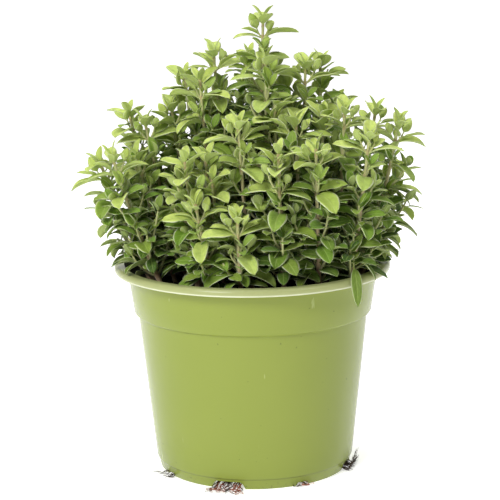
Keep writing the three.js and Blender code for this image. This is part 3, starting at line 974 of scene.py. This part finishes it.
def add_stalk(build, path, share, radii, joint, height, cell):
    """Adds a tube to a build, with its grain, its place on the bake map and its shade."""
    sides = STEM_SIDES if len(path) == STEM_RINGS else STEM_SIDES // 2
    vertices, faces = tube(path, radii, sides, 0.07)
    base = len(build["vertices"])
    left, low, wide, tall = cell
    build["vertices"].extend(vertices)
    for face in faces:
        build["faces"].append([base + v for v in face])
        rings = [v // sides for v in face]
        turns = [v % sides for v in face]
        wraps = len(face) == 4 and max(turns) - min(turns) > 1
        for ring, turn in zip(rings, turns):
            turn = sides if wraps and turn == 0 else turn
            build["streak"].append((turn / sides, float(share[ring]) * len(path) / 600))
            across, up = 0.03 + 0.94 * turn / sides, 0.02 + 0.96 * float(share[ring])
            build["bake"].append((left + wide * across, low + tall * up))
        build["height"].append(float(height[rings[0]]))
        build["joint"].append(float(joint[rings[0]]))


def stem(name, leaves, twigs, trace, material):
    """A shoot's square stem, thicker at each node, with its side twigs."""
    build = {key: [] for key in ("vertices", "faces", "streak", "bake", "height", "joint")}
    path, share, _ = even_path(trace, STEM_RINGS)
    radii = 0.5 * STEM_WIDTH * lerp(1.22, STEM_TIP_SHARE, share)
    joint = np.zeros(STEM_RINGS)
    for leaf in leaves:
        distance = np.linalg.norm(path - leaf["at"], axis=1)
        joint = np.maximum(joint, np.exp(-((distance / (1.3 * MM)) ** 2)))
    add_stalk(build, path, share, radii * (1 + 0.25 * joint), joint, share, (0, 0, 0.3, 1))
    rows = max(1, math.ceil(len(twigs) / TWIG_CELLS))
    for i, twig in enumerate(twigs):
        path, share, length = even_path(twig["path"], TWIG_RINGS)
        thick = lerp(0.36 * MM, 0.62 * MM, min(1.0, length / (12 * MM)))
        cell = (0.3 + 0.1 * (i % TWIG_CELLS), (i // TWIG_CELLS) / rows, 0.1, 1 / rows)
        add_stalk(build, path, share, thick * lerp(1.0, 0.7, share), 0 * share, 0.75 + 0.25 * share, cell)
    maps = {"Streak": "streak", "OFBake": "bake"}
    return built_object(name, build, maps, ["height", "joint"], material)


# ---- pot ----
POT_SEGMENTS = 240


def pot_profile():
    """The pot's wall in section, from the middle of its underside round the rim to its floor.

    A row gives a radius and a height, each with what it is moved by in millimetres.
    """
    ring = FOOT_RADIUS - FOOT_RING_WIDTH
    foot = [
        (0, 0, FLOOR_UNDERSIDE, 0),
        (ring, -0.8, FLOOR_UNDERSIDE, 0),
        (ring, 0, 0, 0.3),
        (ring, 0.3, 0, 0),
        (FOOT_RADIUS, -0.4, 0, 0),
        (FOOT_RADIUS, 0, 0, 0.4),
        (BAND_RADIUS, -0.05, BAND_HEIGHT, -0.2),
        (BAND_RADIUS, 0.05, BAND_HEIGHT, 0),
        (BODY_FOOT_RADIUS, -0.15, BAND_HEIGHT, 0.35),
        (BODY_FOOT_RADIUS, 0, BAND_HEIGHT, 0.7),
    ]
    low = (BODY_FOOT_RADIUS, BAND_HEIGHT + 0.7 * MM)
    high = (BODY_TOP_RADIUS, BODY_TOP - 0.6 * MM)
    body = [(lerp(low[0], high[0], i / 9), 0, lerp(low[1], high[1], i / 9), 0) for i in range(1, 9)]
    top = [
        (BODY_TOP_RADIUS, 0, BODY_TOP, -0.5),
        (BODY_TOP_RADIUS, 0.12, BODY_TOP, 0),
        (lerp(BODY_TOP_RADIUS, SHOULDER_RADIUS, 0.5), 0, BODY_TOP + 0.35 * SHOULDER_FALL, 0),
        (SHOULDER_RADIUS, -0.25, BODY_TOP + 0.7 * SHOULDER_FALL, 0),
        (SHOULDER_RADIUS, 0, SHOULDER_TOP, 0),
        (lerp(SHOULDER_RADIUS, WALL_TOP_RADIUS, 0.5), 0, lerp(SHOULDER_TOP, WALL_TOP, 0.5), 0),
        (WALL_TOP_RADIUS, -0.05, WALL_TOP, -0.8),
        (WALL_TOP_RADIUS, 0.2, WALL_TOP, -0.2),
        (WALL_TOP_RADIUS, 0.8, WALL_TOP, 0),
        (RIM_RADIUS, -1, WALL_TOP, 0),
        (RIM_RADIUS, -0.3, WALL_TOP, 0.25),
        (RIM_RADIUS, 0, WALL_TOP, 0.9),
        (RIM_RADIUS, 0, POT_HEIGHT, -1.4),
        (RIM_RADIUS, -0.35, POT_HEIGHT, -0.6),
        (RIM_RADIUS, -1.1, POT_HEIGHT, -0.12),
        (RIM_RADIUS, -2, POT_HEIGHT, 0),
        (RIM_RADIUS, -2.2, POT_HEIGHT, 0),
        (WALL_TOP_RADIUS, 1.7, POT_HEIGHT, 0),
        (WALL_TOP_RADIUS, 1.5, POT_HEIGHT, 0),
        (WALL_TOP_RADIUS, 0.9, POT_HEIGHT, -0.35),
        (WALL_TOP_RADIUS, 0.4, POT_HEIGHT, -1.4),
    ]
    profile = [(r + dr * MM, z + dz * MM) for r, dr, z, dz in foot + body + top]
    profile += INNER_WALL[-3::-1]
    return profile + [(0, FLOOR_TOP)]


def circle(radius, count):
    """Where the points of a circle round the pot's axis lie."""
    angles = [2 * math.pi * i / count for i in range(count)]
    return [(radius * math.cos(angle), radius * math.sin(angle)) for angle in angles]


def lathe(profile, segments):
    vertices, faces, rings = [], [], []
    for r, z in profile:
        if r == 0:
            rings.append([len(vertices)])
            vertices.append((0, 0, z))
            continue
        rings.append(list(range(len(vertices), len(vertices) + segments)))
        vertices.extend([(x, y, z) for x, y in circle(r, segments)])
    for low, high in zip(rings, rings[1:]):
        for i in range(segments):
            k = (i + 1) % segments
            if len(low) == 1:
                faces.append([low[0], high[i], high[k]][::-1])
            elif len(high) == 1:
                faces.append([low[i], low[k], high[0]])
            else:
                faces.append([low[i], low[k], high[k], high[i]])
    return vertices, faces


def notch_cutters():
    """The drain notches and, between them, the low slits, as prisms that run in through the foot."""
    wide = [(-9, -1), (9, -1), (7.7, 2.3), (6.9, 3.4), (6, NOTCH_TOP / MM)]
    wide += [(-6, NOTCH_TOP / MM), (-6.9, 3.4), (-7.7, 2.3)]
    low = [(-4, -1), (4, -1), (3.2, 1.5), (2.6, 1.9), (-2.6, 1.9), (-3.2, 1.5)]
    inner, outer = FOOT_RADIUS - 8 * MM, FOOT_RADIUS + 4 * MM
    vertices, faces = [], []
    for i in range(2 * NOTCH_COUNT):
        outline = low if i % 2 else wide
        out, side = compass(NOTCH_FIRST + 180 * i / NOTCH_COUNT)
        base, count = len(vertices), len(outline)
        for radius in (inner, outer):
            for x, z in outline:
                vertices.append(out * radius + side * x * MM + np.array([0, 0, z * MM]))
        faces.extend(band(base, base + count, count))
        faces.append([base + j for j in range(count)][::-1])
        faces.append([base + count + j for j in range(count)])
    return vertices, faces


def pot():
    body = mesh_object("pot_body", *lathe(pot_profile(), POT_SEGMENTS), smooth=False)
    cutter = mesh_object("notch_cutter", *notch_cutters(), smooth=False)
    for obj in (body, cutter):
        work = bmesh.new()
        work.from_mesh(obj.data)
        bmesh.ops.recalc_face_normals(work, faces=work.faces)
        work.to_mesh(obj.data)
        work.free()
    cut = body.modifiers.new("notches", "BOOLEAN")
    cut.operation = "DIFFERENCE"
    cut.solver = "EXACT"
    cut.object = cutter
    graph = bpy.context.evaluated_depsgraph_get()
    body.data = bpy.data.meshes.new_from_object(body.evaluated_get(graph))
    body.modifiers.clear()
    bpy.data.objects.remove(cutter)
    mesh = body.data
    mesh.polygons.foreach_set("use_smooth", [True] * len(mesh.polygons))
    mesh.set_sharp_from_angle(angle=38 * RAD)
    inside = []
    for face in mesh.polygons:
        x, y, z = face.center
        inside.append(1.0 if z > FLOOR_TOP and math.hypot(x, y) < inner_radius(z) + 0.5 * MM else 0.0)
    face_value(mesh, "inside", inside)
    mesh.materials.clear()
    mesh.materials.append(pot_material())
    return body


# ---- soil ----
def soil_height(x, y, share):
    """The top of the soil: a low mound with lumps and crumbs."""
    base = SOIL_LEVEL + SOIL_MOUND * (1 - share * share)
    bump = math.sin(310 * x + 170 * y) * math.cos(230 * y - 110 * x) * SOIL_ROUGHNESS
    lump = noise.noise(Vector((x * 140, y * 140, 3.1))) * 1.5 * MM
    crumb = noise.turbulence(Vector((x * 420, y * 420, 7.7)), 3, False) * 1.3 * MM
    return base + bump + lump + crumb - 0.9 * MM


def soil():
    rings, segments = 90, 240
    inner = inner_radius(SOIL_LEVEL) - 0.3 * MM
    vertices = [(0, 0, soil_height(0, 0, 0))]
    for i in range(1, rings + 1):
        share = i / rings
        for x, y in circle(inner * share, segments):
            vertices.append((x, y, soil_height(x, y, share)))
    outline = [(r - 0.3 * MM, z) for r, z in INNER_WALL[3:0:-1]]
    outline.append((inner_radius(SOIL_BOTTOM) - 0.3 * MM, SOIL_BOTTOM))
    for r, z in outline:
        vertices.extend([(x, y, z) for x, y in circle(r, segments)])
    faces = [[0, 1 + j, 1 + (j + 1) % segments] for j in range(segments)]
    total = rings + len(outline)
    for i in range(total - 1):
        low, high = 1 + i * segments, 1 + (i + 1) * segments
        for j in range(segments):
            k = (j + 1) % segments
            faces.append([low + j, high + j, high + k, low + k])
    faces.append([1 + (total - 1) * segments + j for j in range(segments)][::-1])
    obj = mesh_object("soil_bed", vertices, faces)
    obj.data.materials.append(soil_material())
    return obj


# ---- roots ----
ROOT_SIDES = 6
ROOT_RINGS = 28
ROOT_BENDS = 8


def root_tuft(name, azimuth, strands, spread, reach, climb, reddish, seed, material):
    """Wiry roots that leave a notch, fan out, and end on the ground or climb a little once outside."""
    random = Seeded(seed)
    out, side = compass(azimuth)
    build = {"vertices": [], "faces": [], "tint": []}
    for _ in range(strands):
        fan = random() - 0.5
        radius = lerp(0.13, 0.36, random()) * MM
        rise = climb * random() ** 1.5
        start = FOOT_RADIUS - (3 + 3 * random()) * MM
        far = BODY_FOOT_RADIUS + 1 * MM + reach * lerp(0.2, 1.0, random()) + 0.12 * rise
        curl, bend = (random() - 0.5) * 5 * MM, random() * 6
        outside = (BODY_FOOT_RADIUS + 0.8 * MM - start) / (far - start)
        points = []
        wobble = [(random() - 0.5) * 4.4 * MM for _ in range(4)]
        lift = [random() * 2.4 * MM for _ in range(4)]
        for k in range(ROOT_BENDS + 1):
            t = k / ROOT_BENDS
            along = lerp(start, far, t)
            drift = fan * spread * (0.85 + 0.45 * t) + wobble[k % 4] * t + curl * t * math.sin(4 * t + bend)
            low = lerp(2.4 * MM, radius + 0.3 * MM, min(1.0, 1.6 * t))
            clear = float(smoothstep(outside, 1.0, t))
            fall = low + (rise + lift[k % 4] * (1 - t)) * clear
            points.append(out * along + side * drift + np.array([0, 0, fall]))
        path = smooth_path(np.array(points), ROOT_RINGS)
        taper = radius * np.linspace(1.0, 0.35, len(path))
        vertices, faces = tube(path, taper, ROOT_SIDES)
        base = len(build["vertices"])
        build["vertices"].extend(vertices)
        build["faces"].extend([[base + v for v in face] for face in faces])
        build["tint"].extend([1.0 if random() < reddish else 0.0] * len(faces))
    return built_object(name, build, {}, ["tint"], material)


def smooth_path(points, count):
    """A Catmull-Rom curve through the points."""
    padded = np.vstack([2 * points[0] - points[1], points, 2 * points[-1] - points[-2]])
    out = []
    for value in np.linspace(0, len(points) - 1.0001, count):
        i = int(value)
        t = value - i
        a, b, c, d = padded[i : i + 4]
        curve = 2 * b + (c - a) * t + (2 * a - 5 * b + 4 * c - d) * t**2 + (3 * b - a - 3 * c + d) * t**3
        out.append(0.5 * curve)
    return np.array(out)


# ---- light, floor and camera ----
SKY_LIGHT = 0.19
LIT_POINT = Vector((0, 0, 0.12))
CAMERA_PLACE = (-0.0011, -0.9191, 0.2974)
CAMERA_PITCH = math.pi / 2 - 0.2
CAMERA_ROLL = -0.0139
CAMERA_LENS = 132.7


def floor():
    """A pale sweep: flat under the pot, turning up far behind it."""
    vertices, faces = [], []
    flat_to, curve, wide = 1.6, 1.4, 4.0
    outline = [(-3.0, 0.0), (flat_to, 0.0)]
    for angle in range(10, 91, 10):
        y, z = curve * math.sin(angle * RAD), curve * math.cos(angle * RAD)
        outline.append((flat_to + y, curve - z))
    outline.append((3.0, 4.0))
    for y, z in outline:
        vertices += [(-wide, y, z), (wide, y, z)]
    for i in range(len(outline) - 1):
        faces.append([2 * i, 2 * i + 1, 2 * i + 3, 2 * i + 2])
    obj = mesh_object("floor", vertices, faces)
    obj.data.materials.append(floor_material())


def softbox(name, place, size, power):
    """A square lamp that faces the plant."""
    light = bpy.data.lights.new(name, "AREA")
    light.shape = "RECTANGLE"
    light.size = light.size_y = size
    light.energy = power
    obj = bpy.data.objects.new(name, light)
    obj.location = place
    obj.rotation_euler = (LIT_POINT - Vector(place)).to_track_quat("-Z", "Y").to_euler()
    bpy.context.collection.objects.link(obj)


def studio():
    world = bpy.data.worlds.new("studio")
    bpy.context.scene.world = world
    world.use_nodes = True
    tree = world.node_tree
    sky = tree.nodes["Background"]
    sky.inputs["Color"].default_value = WHITE
    # The backdrop reads white where the camera sees past the sweep, yet lights the plant only softly.
    seen = tree.nodes.new("ShaderNodeLightPath")
    level = tree.nodes.new("ShaderNodeMath")
    level.operation = "MULTIPLY_ADD"
    level.inputs[1].default_value = 1 - SKY_LIGHT
    level.inputs[2].default_value = SKY_LIGHT
    tree.links.new(seen.outputs["Is Camera Ray"], level.inputs[0])
    tree.links.new(level.outputs[0], sky.inputs["Strength"])
    softbox("key", (-0.8, -1.2, 1.1), 0.6, 25)
    softbox("fill", (0.9, -0.4, 1.5), 0.8, 6)
    softbox("top", (-0.1, 0.2, 1.6), 1.0, 12)
    bpy.context.scene.view_settings.view_transform = "Standard"


def camera():
    data = bpy.data.cameras.new("camera")
    data.sensor_width = 36
    data.lens = CAMERA_LENS
    obj = bpy.data.objects.new("camera", data)
    obj.location = CAMERA_PLACE
    pitch = Matrix.Rotation(CAMERA_PITCH, 3, "X")
    roll = Matrix.Rotation(CAMERA_ROLL, 3, "Z")
    obj.rotation_euler = (pitch @ roll).to_euler()
    bpy.context.collection.objects.link(obj)
    bpy.context.scene.camera = obj


# ---- the plant in its pot ----
def place_piece(obj, node):
    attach(obj, "root")
    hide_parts(node)


def main():
    camera()
    studio()
    floor()
    place_piece(pot(), "pot")
    place_piece(soil(), "soil")
    fibre = root_material()
    step = 180 / NOTCH_COUNT
    tufts = [
        ("roots_front", NOTCH_FIRST, 34, 14 * MM, 8 * MM, 1 * MM, 0.45, 5),
        ("roots_right", NOTCH_FIRST + 2 * step, 30, 14 * MM, 2.5 * MM, 9 * MM, 0.0, 9),
        ("roots_left", NOTCH_FIRST - step, 12, 8 * MM, 4 * MM, 1 * MM, 0.0, 13),
        ("roots_front_right", NOTCH_FIRST + step, 12, 9 * MM, 1 * MM, 0.5 * MM, 0.5, 21),
    ]
    for node, azimuth, strands, spread, reach, climb, reddish, seed in tufts:
        tuft = root_tuft(f"{node}_wiry", azimuth, strands, spread, reach, climb, reddish, seed, fibre)
        place_piece(tuft, node)

    green, brown = leaf_material(), stem_material()
    for index, (trace, leaves, twigs) in enumerate(grow_plant()):
        node = f"shoot_{index + 1:02d}"
        small = [leaf for twig in twigs for leaf in twig["leaves"]]
        blades = shoot_leaves(f"leaves_{index + 1:02d}", leaves + small, green, index)
        place_piece(blades, node)
        place_piece(stem(f"stem_{index + 1:02d}", leaves, twigs, trace, brown), node)


main()
